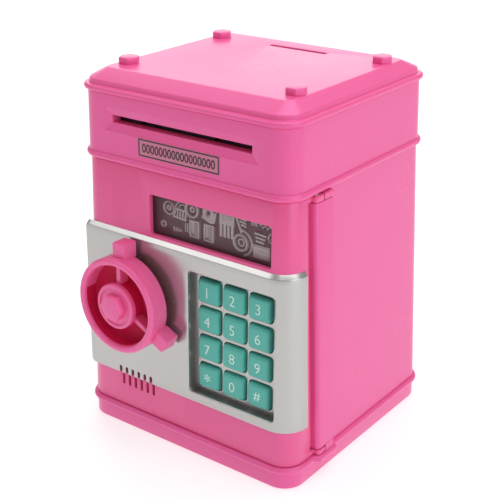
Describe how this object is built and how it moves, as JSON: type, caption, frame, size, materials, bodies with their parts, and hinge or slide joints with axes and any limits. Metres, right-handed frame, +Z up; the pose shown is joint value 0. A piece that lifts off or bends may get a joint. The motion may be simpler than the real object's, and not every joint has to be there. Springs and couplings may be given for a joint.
{
  "type": "toy safe coin bank",
  "caption": "Upright toy safe money box with keypad door, handwheel latch, powered note slot at the front and coin slot in the roof.",
  "frame": {"origin": "centre of the casing's footprint, on the flat bottom plate", "axes": "+Z up, -Y out of the door, +X to the right seen from the front"},
  "size_m": [0.138, 0.1439, 0.19],
  "materials": {
    "casing_pink": "glossy moulded",
    "door_pink": "glossy moulded",
    "wheel_pink": "glossy moulded",
    "inner_pink": "fine spark texture",
    "silver_paint": "silver paint, satin",
    "key_rubber": "satin silicone",
    "clear_window": "tinted clear",
    "relief_silver": "silver printed",
    "membrane_rubber": "matte",
    "board_green": "solder mask",
    "black_plastic": "matte",
    "white_plastic": "natural acetal",
    "roller_rubber": "matte",
    "steel": "bright zinc",
    "motor_can": "plated",
    "cell_wrap": "printed sleeve, plain",
    "contact_brass": "plated spring strip",
    "speaker_black": "paper cone in steel frame",
    "label_print": null
  },
  "bodies": {
    "casing": {"base_tray": "casing_pink", "bottom_plate": "inner_pink", "plate_screws": "steel", "body_shell": "casing_pink", "strike_plate": "steel", "hinge_pins": "steel", "upper_housing": "casing_pink", "serial_plate": "label_print", "bill_deck": "black_plastic", "feed_motor": "motor_can", "sensor_board": "board_green", "coin_chute": "inner_pink", "roof_cover": "casing_pink", "case_screws": "steel"},
    "door": {"door_panel": "door_pink", "silver_fascia": "silver_paint", "key_plate": "silver_paint", "key_membrane": "membrane_rubber", "keypad_board": "board_green", "window_pane": "clear_window", "relief_plate": "relief_silver", "speaker": "speaker_black", "main_board": "board_green", "door_back_cover": "inner_pink", "cover_screws": "steel", "battery_box": "inner_pink", "battery_cells": "cell_wrap", "battery_contacts": "contact_brass", "battery_cover": "inner_pink", "battery_cover_screw": "steel", "wheel_bushing": "black_plastic", "bolt_guides": "black_plastic", "lock_solenoid": "motor_can"},
    "handwheel": {"handwheel": "wheel_pink", "wheel_hub_cap": "wheel_pink", "wheel_shaft": "steel", "wheel_pinion": "white_plastic"},
    "latch_bolt": {"latch_bolt": "steel"},
    "plunger": {"solenoid_plunger": "steel"},
    "feed_roller": {"feed_shaft": "steel", "feed_rollers": "roller_rubber", "feed_gear": "white_plastic"},
    "pinch_roller": {"pinch_shaft": "steel", "pinch_rollers": "roller_rubber"},
    "motor_rotor": {"motor_pinion": "white_plastic"},
    "key_1": {"key_1": "key_rubber"},
    "key_2": {"key_2": "key_rubber"},
    "key_3": {"key_3": "key_rubber"},
    "key_4": {"key_4": "key_rubber"},
    "key_5": {"key_5": "key_rubber"},
    "key_6": {"key_6": "key_rubber"},
    "key_7": {"key_7": "key_rubber"},
    "key_8": {"key_8": "key_rubber"},
    "key_9": {"key_9": "key_rubber"},
    "key_star": {"key_star": "key_rubber"},
    "key_0": {"key_0": "key_rubber"},
    "key_hash": {"key_hash": "key_rubber"}
  },
  "joints": [
    {"name": "door_hinge", "type": "hinge", "parent": "casing", "child": "door", "pos_m": [0.06388, -0.039, 0.078], "axis": [-0.0269, 0, 0.9996], "range_deg": [0, 105]},
    {"name": "handwheel_turn", "type": "hinge", "parent": "door", "child": "handwheel", "pos_m": [-0.0283, -0.0603, 0.07708], "axis": [0, -0.9996, 0.0269], "range_deg": [0, 85]},
    {"name": "bolt_slide", "type": "slide", "parent": "door", "child": "latch_bolt", "axis": [-1, 0, 0], "range_m": [0, 0.00713]},
    {"name": "plunger_lift", "type": "slide", "parent": "door", "child": "plunger", "axis": [0, 0.0269, 0.9996], "range_m": [0, 0.0025], "stiffness_N_per_m": 150, "springref_m": -0.002},
    {"name": "feed_spin", "type": "hinge", "parent": "casing", "child": "feed_roller", "pos_m": [0, -0.044, 0.158], "axis": [1, 0, 0], "continuous": true},
    {"name": "pinch_spin", "type": "hinge", "parent": "casing", "child": "pinch_roller", "pos_m": [0, -0.044, 0.1708], "axis": [1, 0, 0], "continuous": true},
    {"name": "motor_spin", "type": "hinge", "parent": "casing", "child": "motor_rotor", "pos_m": [-0.048, -0.02974, 0.156], "axis": [1, 0, 0], "continuous": true},
    {"name": "key_1_press", "type": "slide", "parent": "door", "child": "key_1", "axis": [0, 0.9996, -0.0269], "range_m": [0, 0.0013], "stiffness_N_per_m": 300, "springref_m": -0.001},
    {"name": "key_2_press", "type": "slide", "parent": "door", "child": "key_2", "axis": [0, 0.9996, -0.0269], "range_m": [0, 0.0013], "stiffness_N_per_m": 300, "springref_m": -0.001},
    {"name": "key_3_press", "type": "slide", "parent": "door", "child": "key_3", "axis": [0, 0.9996, -0.0269], "range_m": [0, 0.0013], "stiffness_N_per_m": 300, "springref_m": -0.001},
    {"name": "key_4_press", "type": "slide", "parent": "door", "child": "key_4", "axis": [0, 0.9996, -0.0269], "range_m": [0, 0.0013], "stiffness_N_per_m": 300, "springref_m": -0.001},
    {"name": "key_5_press", "type": "slide", "parent": "door", "child": "key_5", "axis": [0, 0.9996, -0.0269], "range_m": [0, 0.0013], "stiffness_N_per_m": 300, "springref_m": -0.001},
    {"name": "key_6_press", "type": "slide", "parent": "door", "child": "key_6", "axis": [0, 0.9996, -0.0269], "range_m": [0, 0.0013], "stiffness_N_per_m": 300, "springref_m": -0.001},
    {"name": "key_7_press", "type": "slide", "parent": "door", "child": "key_7", "axis": [0, 0.9996, -0.0269], "range_m": [0, 0.0013], "stiffness_N_per_m": 300, "springref_m": -0.001},
    {"name": "key_8_press", "type": "slide", "parent": "door", "child": "key_8", "axis": [0, 0.9996, -0.0269], "range_m": [0, 0.0013], "stiffness_N_per_m": 300, "springref_m": -0.001},
    {"name": "key_9_press", "type": "slide", "parent": "door", "child": "key_9", "axis": [0, 0.9996, -0.0269], "range_m": [0, 0.0013], "stiffness_N_per_m": 300, "springref_m": -0.001},
    {"name": "key_star_press", "type": "slide", "parent": "door", "child": "key_star", "axis": [0, 0.9996, -0.0269], "range_m": [0, 0.0013], "stiffness_N_per_m": 300, "springref_m": -0.001},
    {"name": "key_0_press", "type": "slide", "parent": "door", "child": "key_0", "axis": [0, 0.9996, -0.0269], "range_m": [0, 0.0013], "stiffness_N_per_m": 300, "springref_m": -0.001},
    {"name": "key_hash_press", "type": "slide", "parent": "door", "child": "key_hash", "axis": [0, 0.9996, -0.0269], "range_m": [0, 0.0013], "stiffness_N_per_m": 300, "springref_m": -0.001}
  ],
  "couplings": [
    {"joint": "bolt_slide", "follows": "handwheel_turn", "m_per_rad": 0.0048},
    {"joint": "pinch_spin", "follows": "feed_spin", "ratio": -1.7778},
    {"joint": "motor_spin", "follows": "feed_spin", "ratio": -2}
  ]
}
